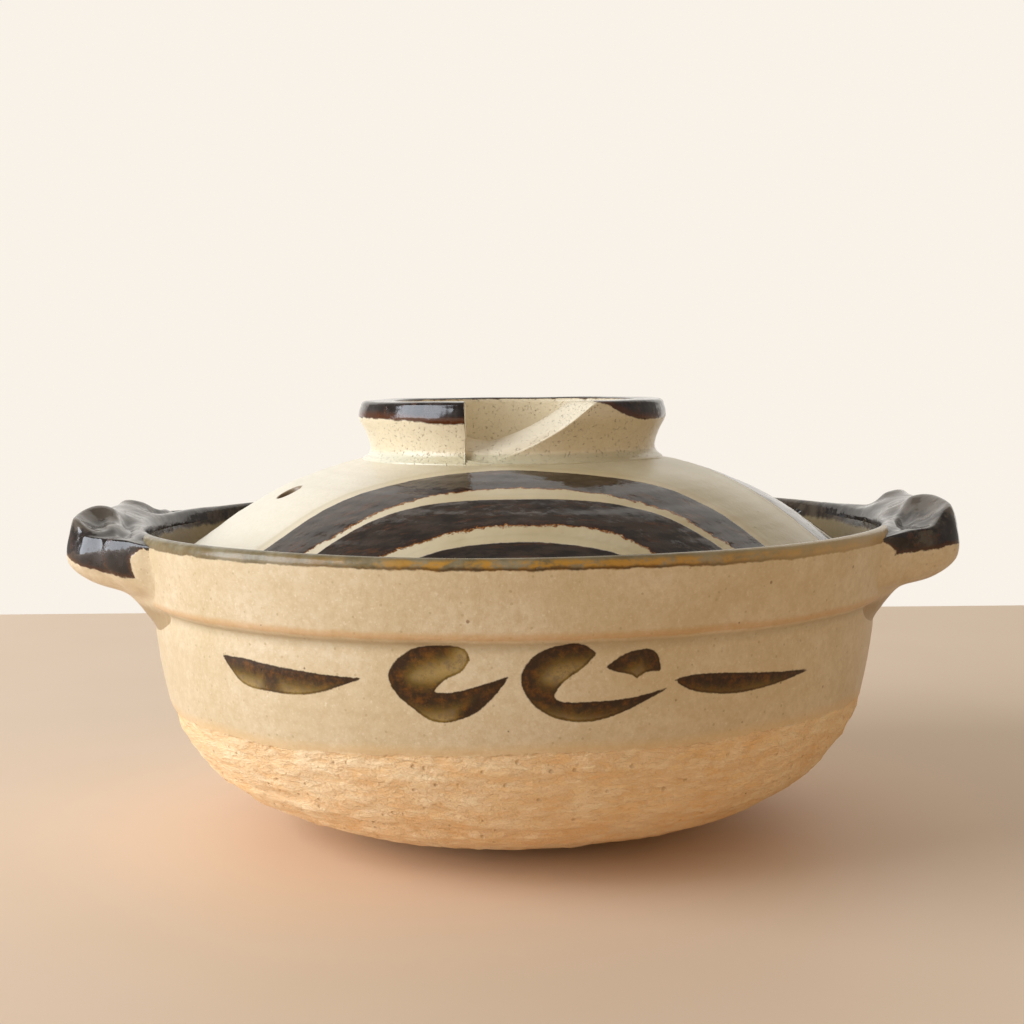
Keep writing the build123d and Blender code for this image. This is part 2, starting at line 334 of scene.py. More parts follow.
stroke_mark, load_mark = np.full(turn_grid.shape, -far), np.full(turn_grid.shape, far)
stroke_rows = np.where((is_outer > 0) & (row_height > 48) & (row_height < 82))[0]
for facing in (0.0, pi):
    from_middle = from_side(turn_grid[stroke_rows], facing)
    near = np.abs(from_middle) < radians(55)
    place = np.stack([np.degrees(from_middle[near]) * degree_length,
                      (row_height[stroke_rows] + 0 * from_middle)[near]], axis=1)
    in_stroke, from_load = np.full(len(place), -far), np.full(len(place), far)
    for runs in stroke_runs:
        outline = np.concatenate([
            curve_through(np.array(run) * (degree_length, 1), spacing=0.8)[:-1] for run in runs])
        in_stroke = np.maximum(in_stroke, signed_distance(place, outline))
    for run in loaded_runs:
        line = curve_through(np.array(run) * (degree_length, 1), spacing=1.5)
        from_load = np.minimum(from_load, distance_from(place, line))
    for grid_mark, values in ((stroke_mark, in_stroke), (load_mark, from_load)):
        patch = grid_mark[stroke_rows]
        patch[near] = values
        grid_mark[stroke_rows] = patch

pot_flat, pot_fans = capped(pot_points, (0, 0, base_hollow), (0, 0, floor_height - 0.1))
pot_bowl = clay_mesh("pot_bowl", pot_flat, turned_faces(*turn_grid.shape), pot_fans, {
    "above_glaze_line": np.append(above_line, [-far, far]),
    "in_stroke": np.append(stroke_mark, [-far, -far]),
    "from_load": np.append(load_mark, [far, far]),
    "is_outside": np.append(is_outer + 0 * turn_grid, [1.0, 0.0])})


class Value:
    """One number or colour of a finish. Its operators add the Math node that they stand for."""

    def __init__(self, finish, socket):
        self.finish, self.socket = finish, socket

    def maths(self, operation, *others):
        """The Math node of an operation on this number and others."""
        return self.finish.node("Math", [self, *others], operation=operation)

    def __add__(self, other): return self.maths("ADD", other)
    __radd__ = __add__
    def __mul__(self, other): return self.maths("MULTIPLY", other)
    __rmul__ = __mul__
    def __sub__(self, other): return self.maths("SUBTRACT", other)
    def __rsub__(self, other): return self * -1.0 + other
    def __pow__(self, other): return self.maths("POWER", other)

    def step(self, low, high):
        """A soft step from 0 at low to 1 at high. With low above high it goes down instead."""
        return self.finish.node("MapRange", {"Value": self, "From Min": low, "From Max": high},
                                interpolation_type="SMOOTHSTEP")


class Finish:
    """The recipe of one fired finish: the nodes of a material, or of the studio's air."""

    def __init__(self, name, kind=bpy.data.materials):
        self.owner = kind.new(name)
        self.owner.use_nodes = True
        self.tree = self.owner.node_tree
        self.tree.nodes.clear()
        self.place = self.node("TexCoord", [], "Object")

    def node(self, kind, values, output=0, **settings):
        """Any node: its kind, its inputs by place or name, the output, and its settings."""
        made = self.tree.nodes.new("ShaderNode" + kind)
        for key, value in settings.items():
            setattr(made, key, value)
        named = values.items() if isinstance(values, dict) else enumerate(values)
        for key, value in named:
            if isinstance(value, Value):
                self.tree.links.new(value.socket, made.inputs[key])
            else:
                made.inputs[key].default_value = value
        return Value(self, made.outputs[output]) if made.outputs else None

    def stretched(self, x, y, z):
        """The place on the piece with each axis scaled, so that a pattern runs one way."""
        return self.node("VectorMath", [self.place, (x, y, z)], operation="MULTIPLY")

    def millimetres(self):
        """The three coordinates of the place on the piece."""
        return [self.node("SeparateXYZ", [self.place], axis) * 1000.0 for axis in "XYZ"]

    def cloud(self, size, detail, rough, seed=0.0, stretch=None):
        """Cloudy pattern around 0.5 whose blotches are about size millimetres across."""
        return self.node("TexNoise", {
            "Vector": self.stretched(*stretch) if stretch else self.place, "W": seed,
            "Scale": 1000.0 / size, "Detail": detail, "Roughness": rough}, noise_dimensions="4D")

    def waver(self, reach, size, detail, rough, seed):
        """A cloud around 0 that is reach high: it makes a straight edge ragged."""
        return (self.cloud(size, detail, rough, seed) - 0.5) * reach

    def grains(self, size, shift=0.0, place=None):
        """Cells of about size millimetres: the distance from each grain's middle, in sizes,
        and a random number for each grain."""
        shifted = self.node("VectorMath", [place or self.place, (shift, shift, 0.0)],
                            operation="ADD")
        distance = self.node("TexVoronoi", {"Vector": shifted, "Scale": 1000.0 / size})
        colour = Value(self, distance.socket.node.outputs["Color"])
        return distance, self.node("SeparateColor", [colour])

    def specks(self, size, share, radius, shift=0.0):
        """Mask of small specks: in a share of the cells, a dot of radius in cell sizes."""
        distance, chance = self.grains(size, shift)
        return chance.step(1 - share, 1 - share * 0.6) * distance.step(radius, radius * 0.5)

    def mark(self, name):
        """A number that the mesh carries for each point."""
        return self.node("Attribute", [], "Fac", attribute_name=name)

    def fire(self, skin, depth, gloss=0.5):
        """Ends a recipe of colour, roughness and height, whose full height is depth
        millimetres, and gives the material."""
        colour, roughness, height = skin
        relief = self.node("Bump", {"Height": height, "Distance": depth * 0.001, "Strength": 1.0})
        shader = self.node("BsdfPrincipled", {
            "Base Color": colour, "Roughness": roughness, "Normal": relief,
            "Specular IOR Level": gloss})
        self.node("OutputMaterial", [shader])
        return self.owner


def seen(red, green, blue):
    """A colour as a screen shows it, 0 to 255, turned into the light that a shader mixes."""
    share = np.array([red, green, blue]) / 255.0
    light = np.where(share <= 0.04045, share / 12.92, ((share + 0.055) / 1.055) ** 2.4)
    return (*light.tolist(), 1.0)


def blend(share, first, second):
    """Mixes two colours by a share. A colour is a Value, or red, green and blue as seen."""
    finish = next(one.finish for one in (share, first, second) if isinstance(one, Value))
    first, second = [one if isinstance(one, Value) else seen(*one) for one in (first, second)]
    return finish.node("Mix", {"Factor": share, 6: first, 7: second}, 2, data_type="RGBA")


def layers(colour, *coats):
    """A colour with others laid over it in turn, each coat a share and a colour."""
    for share, over in coats:
        colour = blend(share, colour, over)
    return colour


def tinted(skin, *coats):
    """A finish with coats laid over its colour alone."""
    return (layers(skin[0], *coats), *skin[1:])


def laid_over(share, under, over):
    """One finish over another by a share: colour, roughness and height each mixed."""
    return (blend(share, under[0], over[0]),
            *[share * (b - a) + a for a, b in zip(under[1:], over[1:])])


# The recipes below each give a colour, a roughness and a height in the relief.
def cream_glaze(finish):
    """Satin beige glaze over sandy clay: milky clouds, a fine sandy mottle, small brown and
    greenish flecks where sand shows through, and a few iron specks."""
    milky = finish.cloud(34, 3, 0.6).step(0.34, 0.68)
    mottle = finish.cloud(2.4, 5, 0.74, 2.0).step(0.36, 0.66)
    sand = finish.cloud(0.9, 3, 0.62, 5.0).step(0.54, 0.74)
    rusty, small = finish.specks(9.5, 0.45, 0.070, 0.087), finish.specks(6.4, 0.42, 0.060)
    colour = layers(
        blend(milky, (206, 186, 150), (219, 202, 172)),
        (mottle * 0.50, (190, 165, 124)), (sand * 0.38, (236, 222, 196)),
        (finish.specks(2.7, 0.50, 0.20, 0.057) * 0.34, (146, 118, 70)),
        (rusty * 0.62, (120, 78, 38)), (small * 0.66, (76, 58, 38)),
        (finish.specks(19.0, 0.40, 0.034, 0.031) * 0.90, (34, 26, 20)))
    height = (0.7 * finish.cloud(1.6, 3, 0.6, 3.0) + 1.1 * finish.cloud(6.0, 2, 0.5, 4.0)
              - 0.7 * small - 0.5 * rusty)
    return colour, 0.26 + 0.16 * finish.cloud(9, 3, 0.6, 7.0), height


def sandy_clay(finish):
    """Bare stoneware, torn by the turning tool: pale cream-orange clay with fine flaked ridges
    that run level round the pot, chips with torn edges, grit and pits."""
    level = (0.40, 0.40, 1.0)
    flakes = finish.cloud(2.2, 5, 0.70, 12.0, level)
    torn = flakes.step(0.38, 0.62)
    fine = finish.cloud(0.9, 4, 0.72, 13.0, (0.6, 0.6, 1.0))
    torn_edges = finish.node("TexNoise", {
        "Vector": finish.place, "Scale": 620.0, "Detail": 3.0, "Roughness": 0.6}, 1)
    chip_place = finish.node("VectorMath", [
        torn_edges, (0.0022, 0.0022, 0.0022), finish.stretched(0.30, 0.30, 1.0)],
        operation="MULTIPLY_ADD")
    chips = finish.grains(1.9, 0.021, chip_place)[1]
    slivers = finish.grains(0.9, 0.055, chip_place)[1]
    pits_at, pit_chance = finish.grains(3.2, 0.073)
    pits = pit_chance.step(0.72, 0.84) * pits_at.step(0.26, 0.06)
    toned = finish.cloud(22, 4, 0.6, 11.0).step(0.30, 0.70)
    # Raised torn ridges are painted lighter cream, a painted highlight, and the low flakes and
    # fine grain are painted darker orange, painted shade in their hollows.
    colour = layers(
        blend(toned, (247, 203, 145), (252, 221, 174)), (torn * 0.46, (253, 234, 200)),
        (flakes.step(0.42, 0.28) * 0.34, (212, 158, 100)),
        (fine.step(0.44, 0.30) * 0.20, (214, 162, 106)),
        (chips.step(0.62, 0.40) * 0.22, (222, 168, 108)),
        (finish.specks(8.0, 0.30, 0.045, 0.043) * 0.75, (96, 66, 44)),
        (pits * 0.34, (176, 126, 78)))
    height = (0.5 * torn + 1.2 * flakes + 1.0 * fine - 1.2 * pits + 0.85 * chips
              + 0.45 * slivers + 2.6 * finish.cloud(5.5, 3, 0.55, 14.0, level) - 3.1)
    return colour, 0.90, height


def iron_glaze(finish):
    """Glossy iron glaze, dark brown where thick, with cloudy grey-mauve blooms and reddish
    brown where it runs thin."""
    bloom = finish.cloud(8, 4, 0.62, 21.0).step(0.40, 0.66)
    rust = finish.cloud(4.2, 5, 0.68, 23.0).step(0.54, 0.68)
    colour = layers(blend(bloom, (22, 13, 7), (52, 44, 42)), (rust * 0.55, (88, 48, 22)))
    height = 1.5 * finish.cloud(6.0, 2, 0.5, 24.0) + 0.2 * rust
    return colour, 0.07 + 0.10 * bloom + 0.05 * rust, height


pot_finish = Finish("pot_clay_and_glaze")
across_mm, _, height_mm = pot_finish.millimetres()
outside, above = pot_finish.mark("is_outside"), pot_finish.mark("above_glaze_line")
glaze, clay, iron = [make(pot_finish) for make in (cream_glaze, sandy_clay, iron_glaze)]
glazed = (above + pot_finish.waver(3.0, 5.0, 5, 0.68, 31.0)).step(-0.55, 0.55)

# Thin glaze along its own edge, and on the sharp edge of the collar, lets the clay's warmth
# through. The greyer line under the collar is painted shade beneath its overhang.
collar_place = height_mm + pot_finish.waver(1.6, 14, 3, 0.6, 55.0)
collar_edge = collar_place.step(77.9, 78.7) * collar_place.step(81.2, 79.4) * outside
painted_shade_under_collar = collar_place.step(73.4, 76.4) * collar_place.step(78.0, 77.0) * outside
skin = tinted(laid_over(glazed, clay, glaze),
              (glazed * above.step(4.5, 0.4) * 0.50, (222, 184, 130)),
              (collar_edge * 0.46, (196, 144, 84)), (painted_shade_under_collar * 0.40, (160, 146, 116)))

# Iron wash of the brush strokes: near-black brown where the brush was loaded, see-through
# olive where it ran dry, with a fine dark rim where the wash dried.
stroke = pot_finish.mark("in_stroke") + pot_finish.waver(0.9, 1.2, 4, 0.74, 41.0)
grit, pooling = pot_finish.cloud(0.9, 4, 0.74, 42.0), pot_finish.cloud(4.2, 5, 0.72, 43.0)
load = pot_finish.mark("from_load") + (pooling - 0.5) * 6.5 + (grit - 0.5) * 3.4
dense, dried_rim = load.step(7.4, 0.4), stroke.step(0.75, 0.05)
dry = blend((pooling + (grit - 0.5) * 0.5).step(0.40, 0.64), (150, 122, 50), (92, 66, 10))
amber = blend(pot_finish.cloud(2.6, 5, 0.72, 44.0).step(0.42, 0.72), (40, 19, 0), (104, 60, 2))
wash = layers(dry, (dense, amber), (dried_rim * (0.26 + 0.60 * dense), (44, 22, 2)))
strength = (0.80 + 0.30 * dense + 0.20 * dried_rim).maths("MINIMUM", 0.98)
cover = stroke.step(-0.42, 0.02) * strength
skin = (blend(cover, skin[0], wash), skin[1] - 0.04 * cover, skin[2])

# Iron glaze wiped along the lip: grey-green where it stays, ochre where it has run thin, and
# a thin broken brown line where it ends.
band_edge = pot_finish.waver(2.0, 9.0, 4, 0.62, 51.0) + pot_finish.waver(0.9, 1.8, 3, 0.6, 53.0)
band_place = height_mm + band_edge - 0.7 * across_mm.step(80.0, 0.0)
lip_band, run_thin = band_place.step(96.9, 97.5), across_mm.step(-70.0, -10.0)
patchy = pot_finish.cloud(5.0, 5, 0.70, 52.0, (0.6, 0.6, 1.0)).step(0.40, 0.56)
ochre = patchy * (0.10 + 0.90 * run_thin) * band_place.step(100.6, 99.4)
ending = lip_band * band_place.step(98.5, 97.6) * (0.2 + 0.8 * run_thin)
crest = height_mm.step(99.8, 101.0) * run_thin
mixed = pot_finish.cloud(7.0, 4, 0.64, 54.0).step(0.34, 0.68)
band_colour = layers(
    blend(mixed, (110, 97, 68), (142, 131, 105)), (ochre * 0.90, (182, 132, 46)),
    (ending * 0.80, (66, 42, 16)), (crest * 0.55, (100, 84, 52)),
    (across_mm.step(25.0, 100.0) * 0.72, (192, 166, 120)))
skin = laid_over(lip_band * outside, skin, (band_colour, 0.20, glaze[2]))

# The inside is khaki above the seat, with iron glaze again under the lip, and the seat for the
# lid is wiped bare.
inside = 1 - outside
skin = tinted(skin, (height_mm.step(86.0, 88.0) * inside * 0.62, (150, 134, 94)))
inner_band = (height_mm + band_edge * 1.8).step(94.6, 96.2) * inside
mauve = blend(mixed * 0.75, iron[0], (126, 112, 96))
skin = laid_over(inner_band, skin, (mauve, iron[1] + 0.05, iron[2]))
seat = height_mm.step(83.2, 84.0) * height_mm.step(86.4, 85.6) * inside
colour, roughness, height = laid_over(seat, skin, clay)
pot_bowl.data.materials.append(pot_finish.fire(
    (colour, roughness, height * (0.42 - 0.24 * glazed)), 1.0, gloss=0.28))
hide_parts("pot_body")
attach(pot_bowl, "pot")


# The ears: two lugs of clay pressed over the lip with slip, smoothed into collar and belly with
# a thumb, and dented on top for the thumbs that lift the pot. Their upper half is dipped in
# iron glaze.

# An outline row is a point's share out, and its share up in the middle and in a lobe. A half
# row is a place along the ear, and how swollen, lobed and high the ear is there.
ear_reach, ear_tail_drop, ear_crest_rise = 19.5, 32.2, 5.6
ear_outline_shares = [(-0.41, -1.00, -1.00), (-0.25, -0.88, -0.88), (-0.05, -0.73, -0.73),
                      (0.17, -0.61, -0.61), (0.45, -0.53, -0.53), (0.79, -0.415, -0.415),
                      (1.00, -0.275, -0.275), (0.985, -0.09, -0.09), (0.88, 0.43, 0.37),
                      (0.66, 0.94, 0.80), (0.36, 0.92, 0.62), (0.04, 0.58, 0.20),
                      (-0.12, 0.22, 0.10), (-0.24, -0.14, -0.14)]
ear_half_shares = [(0.0, 0.91, 0.0, 1.0), (0.25, 0.96, 0.40, 1.0), (0.52, 1.0, 1.0, 0.88),
                   (0.67, 0.90, 1.0, 0.50), (0.80, 0.64, 1.0, 0.20), (0.91, 0.34, 1.0, 0.05),
                   (1.0, 0.12, 1.0, 0.0)]
ear_columns, ear_rows = 151, 121
thumb_press, thumb_rim, middle_dip, end_fall, inner_fall = 4.4, 1.5, 1.3, 5.0, 3.0
back_lean, pull_in, shoulder_out, groove_depth = 1.15, 0.8, 1.5, 1.1


def against_wall(points, line, fillet):
    """Presses a surface on to the pot's wall: a point's distance out of the wall is replaced
    by the smooth greater of itself and half a millimetre under the surface, so that the clay
    runs out in a fillet. points are radii and heights, line the wall's outline."""
    side, flat = outward(line), points.reshape(-1, 2)
    nearest = np.argmin(((flat[:, None, :] - line[None, :, :]) ** 2).sum(axis=2), axis=1)
    off = ((flat - line[nearest]) * side[nearest]).sum(axis=1)
    near = np.clip(1 - np.abs(off + 0.5) / fillet, 0, 1)
    lifted = np.maximum(off, -0.5) + fillet / 4 * near ** 2
    moved = flat + (lifted - off)[:, None] * side[nearest]
    return moved.reshape(points.shape), off.reshape(points.shape[:-1])


def ear_surface(facing, half_angle, lift, sag, thumbs):
    """Surface of an ear on a grid of columns along it and rows round its section. Each section
    is the outline swollen out of a root in the wall. The thumbs' hollows are pressed in as
    smooth dents, the top falls away beyond them and leans to the back, shallow grooves are
    drawn down the outer side, and the whole is run out on the wall. thumbs are the angle of
    each, its distance out from the rim and its size."""
    half = np.array(ear_half_shares)
    along = np.linspace(-1.1, 1.1, ear_columns)
    kernel = np.exp(-0.5 * (np.arange(-14, 15) / 5.0) ** 2)
    kernel /= kernel.sum()
    swell, lobe, crest = [
        np.convolve(np.pad(np.interp(np.abs(along), half[:, 0], half[:, i]), 14, mode="edge"),
                    kernel, "valid") for i in (1, 2, 3)]
    swell = np.maximum(swell * (1 - eased(np.abs(along), 0.94, 1.1)), 0.02)
    out, middle_up, lobe_up = np.array(ear_outline_shares).T
    sections = []
    for full, lobed, high in zip(swell, lobe, crest):
        up = middle_up + lobed * (lobe_up - middle_up)
        below = np.minimum(up, 0)
        height = rim_height + np.maximum(up, 0) * high * ear_crest_rise + lift * high * (1 + below)
        height += below * (ear_tail_drop + sag * np.maximum(out, 0))
        root_height = np.minimum(height, rim_height - 3.5)
        root_radius = np.interp(height, [66, 80, 90, 101], [116.0, 119.0, 121.8, 124.4])
        line = curve_through(np.column_stack([
            root_radius + full * (rim_radius + out * ear_reach - root_radius),
            root_height + full * (height - root_height)]), spacing=0.3)
        sections.append(even_steps(line, run_along(line)[-1] / (ear_rows - 1))[:ear_rows])
    section = np.stack(sections)
    turn = radians(1) * along[:, None] * half_angle + 0 * section[..., 0]
    aside, radius = np.abs(np.degrees(turn)), section[..., 0].copy()
    outer = eased(radius, 128.0, 134.0)
    thumb_turn, thumb_out, thumb_size = thumbs
    press = middle_dip * np.exp(-(aside / 5.5) ** 2) * eased(radius, 146, 138)
    for side_sign in (-1, 1):
        away = (turn - side_sign * radians(thumb_turn)) * rim_radius / (11.0 * thumb_size)
        across = (radius - rim_radius - thumb_out) / (6.4 * thumb_size)
        from_thumb = np.hypot(away, across)
        press += thumb_press * np.exp(-1.9 * from_thumb ** 2)
        press -= thumb_rim * np.exp(-((from_thumb - 1.10) / 0.30) ** 2)
    beyond = eased(aside, thumb_turn + 1.0, thumb_turn + 7.0)
    press += end_fall * beyond * eased(radius, 126.5, 132.0)
    press += inner_fall * eased(aside, 4.0, 11.0) * (1 - outer)
    press -= back_lean * np.clip(-np.sin(turn + facing) / 0.25, -1, 1) * outer
    section[..., 1] -= press * eased(section[..., 1], rim_height - 2.0, rim_height + 2.5)
    groove = np.exp(-((aside - 22.0) / 1.25) ** 2) + 0.6 * np.exp(-((aside - 7.0) / 2.2) ** 2)
    shoulder = shoulder_out * np.exp(-((aside - 16.0) / 3.6) ** 2)
    section[..., 0] += (shoulder - pull_in - groove_depth * groove) * outer
    wall = spread_rows(pot_line[: int(len(pot_line) * 0.62)], 900, 2.0)
    section, off = against_wall(section, wall[wall[:, 1] > 40], 2.8)
    section[..., 0] += 0.10 * lumps(turn * 9, section[..., 1], 40, 4.0, 8) * eased(off, 0.5, 3.0)
    points = np.stack([section[..., 0] * np.cos(turn + facing),
                       section[..., 0] * np.sin(turn + facing), section[..., 1]], axis=-1)
    return points, turn, section


def iron_reach(from_middle, section, tail_low, middle_low, end_angle):
    """How far a point of an ear lies inside its iron glaze, in millimetres: above a lower
    edge that sinks towards the tails, and nearer to the middle than where the dip ends, but
    always on the lip and inside it."""
    radius, height = section[..., 0], section[..., 1]
    aside = np.abs(np.degrees(from_middle))
    over = height - middle_low - (tail_low - middle_low) * eased(aside, 11, 26)
    within = (end_angle + 3.0 * eased(height, 94, 100) - aside) * degree_length
    within = within + 60 * eased(rim_radius + 1.5 - radius, 0, 3) * (height > 97.5)
    inside_lip = eased(radius, rim_radius - 2, rim_radius - 4) * eased(height, 92, 94)
    return np.minimum(over, within) + far * inside_lip


ear_finish = Finish("ear_clay_and_iron_glaze")
ear_beige, ear_iron = cream_glaze(ear_finish), iron_glaze(ear_finish)
ear_height = ear_finish.millimetres()[2]
# The iron's grey frost comes in clouds, and it grows towards the ear's top, where it is a painted
# sheen of the bright room above.
frost_and_top_sheen = (ear_finish.cloud(7, 4, 0.6, 62.0) + (ear_height - 103.0) * 0.05).step(0.42, 0.60)
dipped = ear_finish.mark("in_iron") + ear_finish.waver(3.4, 3.2, 5, 0.7, 61.0)
covered = dipped.step(-0.2, 0.5)
warm_fold = ear_finish.mark("off_wall").step(3.0, 0.3) * (1 - covered)
# The lower ends of the tails are painted darker: painted shade under the ear.
painted_shade_low_tails = (ear_height + ear_finish.waver(4.0, 5, 3, 0.6, 63.0)).step(79.5, 76.0)
ear_skin = tinted(
    laid_over(covered, ear_beige, tinted(ear_iron, (frost_and_top_sheen * 0.44, (128, 117, 102)))),
    (covered * dipped.step(2.0, 0.4) * 0.85, (70, 36, 10)), (warm_fold * 0.16, (176, 140, 92)),
    (painted_shade_low_tails * 0.62, (136, 108, 62)))
ear_material = ear_finish.fire(ear_skin, 0.20)

for name, node, facing, half_angle, lift, sag, thumbs, dip in (
    ("left_ear", "left_handle", pi, 29.2, 0.0, 4.0, (14.5, 9.75, 1.0), (88.0, 95.2, 26.5)),
    ("right_ear", "right_handle", 0.0, 26.7, 1.4, 7.6, (14.5, 7.0, 1.2), (93.0, 95.8, 25.0)),
):
    points, from_middle, section = ear_surface(facing, half_angle, lift, sag, thumbs)
    flat, fans = capped(points, points[0].mean(axis=0), points[-1].mean(axis=0))
    in_iron = iron_reach(from_middle, section, *dip)
    off_wall = np.clip(section[..., 0] - belly_radius, 0, 12)
    ear = clay_mesh(name, flat, turned_faces(*points.shape[:2])[:, ::-1], fans[:, ::-1], {
        "in_iron": np.append(in_iron, [-far, -far]),
        "off_wall": np.append(off_wall, [0.0, 0.0])})
    ear.data.materials.append(ear_material)
    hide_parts(node)
    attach(ear, "pot")


# The lid: a thrown dome of the same clay that lies on the seat inside the collar, pierced by a
# steam hole. Three groups of broad iron bands are brushed across its glaze, and its foot is
# bare clay.

lid_radius, lid_foot_height, lid_edge = 117.2, 84.9, 2.6
lid_rise, lid_wall, lid_foot_width = 40.7, 6.5, 10.0
dome_shares = [(0.994, 0.0), (0.9215, 0.170), (0.768, 0.488), (0.597, 0.748), (0.375, 0.932),
               (0.0, 1.0)]
steam_radius, steam_distance, steam_angle = 3.7, 78.0, radians(202.4)
crown_height = lid_foot_height + lid_rise
lid_edge_height = lid_foot_height + lid_edge

dome_line = curve_through(
    [(out * lid_radius, lid_edge_height + up * (lid_rise - lid_edge)) for out, up in dome_shares],
    start=(-1, 1), end=(-1, 0))
under_line = curve_through(
    [(0.0, crown_height - lid_wall), *inset(dome_line, lid_wall, (0.74, 0.52, 0.30, 0.10)),
     (lid_radius - lid_foot_width, lid_foot_height)], start=(1, 0), end=(1, -1))
lid_line = softened(np.concatenate([
    under_line[4:], [(lid_radius, lid_foot_height), (lid_radius, lid_edge_height)],
    dome_line[:-4]]), 0.55)
lid_rows = spread_rows(lid_line, 250)
lid_turns = np.linspace(0, 2 * pi, 361)[:-1]
lid_turn_grid, lid_run_grid = np.meshgrid(lid_turns, run_along(lid_rows))
is_top = np.arange(len(lid_rows)) >= np.argmax(lid_rows[:, 0])
lid_sink = 0.12


def lid_relief(turn, radius, run):
    """Throwing rings and slow waves of the dome, in millimetres, nothing near its edge."""
    rings = 0.03 * np.sin(2 * pi * run / 5.4 + turn) + 0.09 * lumps(turn, run, 6, 7.0, 15)
    waves = 0.18 * lumps(turn, run, 8, 26.0, 16)
    return (1 - eased(radius, 108.0, 114.0)) * (rings + waves) - lid_sink


lid_points = swept_round(
    lid_rows, lid_turns, lid_relief(lid_turn_grid, lid_rows[:, :1], lid_run_grid))

# The window of the grid round the steam hole is left out, on the top and on the underside, and
# a patch runs from the upper window over the hole's rounded rim and down its bore to the lower.
hole_column = int(round(steam_angle / (2 * pi) * 360))
window_columns = np.arange(hole_column - 7, hole_column + 8)
hole_middle = steam_distance * np.array([cos(steam_angle), sin(steam_angle)])
hole_rounding = 0.6


def window_loop(top):
    """The grid's rows and columns round the edge of the window on the lid's top or underside,
    one way round from its first corner."""
    near = np.where((is_top == top) & (np.abs(lid_rows[:, 0] - steam_distance) < 9.0))[0]
    first, last = near[0], near[-1]
    loop = [(first, c) for c in window_columns[:-1]]
    loop += [(r, window_columns[-1]) for r in range(first, last)]
    loop += [(last, c) for c in window_columns[:0:-1]]
    loop += [(r, window_columns[0]) for r in range(last, first, -1)]
    return np.array(loop)


def height_at(line, radius):
    """Height of the dome or its underside at a distance from the axis."""
    order = np.argsort(line[:, 0])
    return np.interp(radius, line[order, 0], line[order, 1])


def hole_rows(loop, line, up):
    """Rows of points from a window's edge in to the steam hole: straight runs in plan to the
    hole's round, and then over its edge, as it was softened with a wet finger. up is 1 on the
    lid's top and -1 on its underside."""
    def level(plan):
        """Height of the skin at places in plan."""
        return height_at(line, np.linalg.norm(plan, axis=1)) - up * lid_sink

    start = lid_points[loop[:, 0], loop[:, 1]]
    away = start[:, :2] - hole_middle
    away /= np.linalg.norm(away, axis=1)[:, None]
    across = hole_middle + away * (steam_radius + hole_rounding) - start[:, :2]
    gap = start[:, 2] - level(start[:, :2])
    rows = []
    for share in np.linspace(0, 1, 9)[1:]:
        plan = start[:, :2] + share * across
        rows.append(np.column_stack([plan, level(plan) + (1 - share) * gap]))
    for turn in np.linspace(0, pi / 2, 7)[1:]:
        plan = hole_middle + away * (steam_radius + hole_rounding * (1 - sin(turn)))
        drop = up * hole_rounding * (1 - cos(turn))
        rows.append(np.column_stack([plan, level(plan) - drop]))
    return rows


# The underside's rows run the other way, so its loop is turned round to lie under the upper.
top_loop, under_loop = window_loop(True), window_loop(False)[::-1]
keep = np.ones((len(lid_rows) - 1, len(lid_turns)), bool)
for row in (top_loop[:, 0], under_loop[:, 0]):
    keep[row.min():row.max(), window_columns[0]:window_columns[-1]] = False
lid_quads = turned_faces(*lid_turn_grid.shape)[keep.ravel()]
lid_flat, lid_fans = capped(lid_points, (0, 0, crown_height - lid_wall),
                            (0, 0, crown_height - 0.1))

upper, lower = hole_rows(top_loop, dome_line, 1), hole_rows(under_loop, under_line, -1)
offset = np.argmax((lower[-1][:, :2] - hole_middle) @ (upper[-1][0, :2] - hole_middle))
under_loop = np.roll(under_loop, -offset, axis=0)
lower = [np.roll(row, -offset, axis=0) for row in lower]
bore = [upper[-1] + share * (lower[-1] - upper[-1]) for share in np.linspace(0, 1, 6)[1:-1]]
patch_rows = [*upper, *bore, *lower[::-1]]
loop_size, glazed_rows = len(top_loop), 11
ring_index = [top_loop @ (len(lid_turns), 1)]
ring_index += [len(lid_flat) + i * loop_size + np.arange(loop_size)
               for i in range(len(patch_rows))]
ring_index += [under_loop @ (len(lid_turns), 1)]
lid_flat = np.concatenate([lid_flat, *patch_rows])
patch_quads = np.concatenate([np.stack([a, np.roll(a, -1), np.roll(b, -1), b], axis=1)
                              for a, b in zip(ring_index[:-1], ring_index[1:])])

